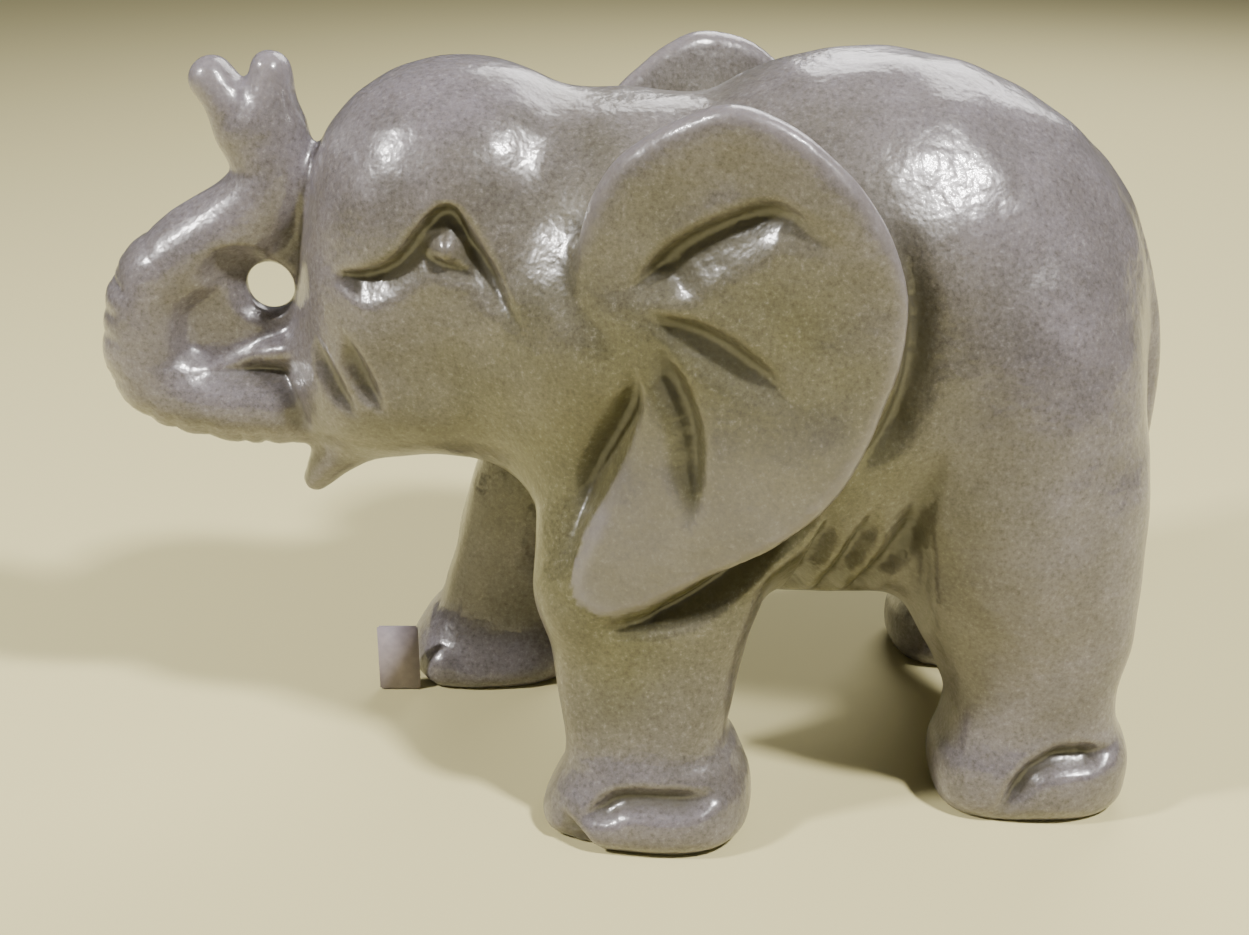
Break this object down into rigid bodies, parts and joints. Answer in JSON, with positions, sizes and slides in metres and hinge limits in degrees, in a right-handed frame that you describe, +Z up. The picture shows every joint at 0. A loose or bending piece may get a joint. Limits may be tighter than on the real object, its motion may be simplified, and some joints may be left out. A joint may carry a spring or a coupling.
{
  "type": "carved stone elephant figurine",
  "caption": "Small polished stone elephant that stands on its feet, striding, with a raised curled trunk, spread ears and a blank label at one toe.",
  "frame": {"origin": "middle of the footprint, on the surface that the feet stand on", "axes": "+Z up, -X the way the elephant faces, -Y its left side"},
  "size_m": [0.0801, 0.0393, 0.0542],
  "materials": {
    "stone": "waxed polish",
    "paper": "matte"
  },
  "bodies": {
    "root": {"torso": "stone", "head": "stone", "trunk": "stone", "lower_lip": "stone", "left_ear": "stone", "right_ear": "stone", "front_left_leg": "stone", "front_right_leg": "stone", "rear_left_leg": "stone", "rear_right_leg": "stone", "tail": "stone", "blank_label": "paper"}
  },
  "joints": []
}
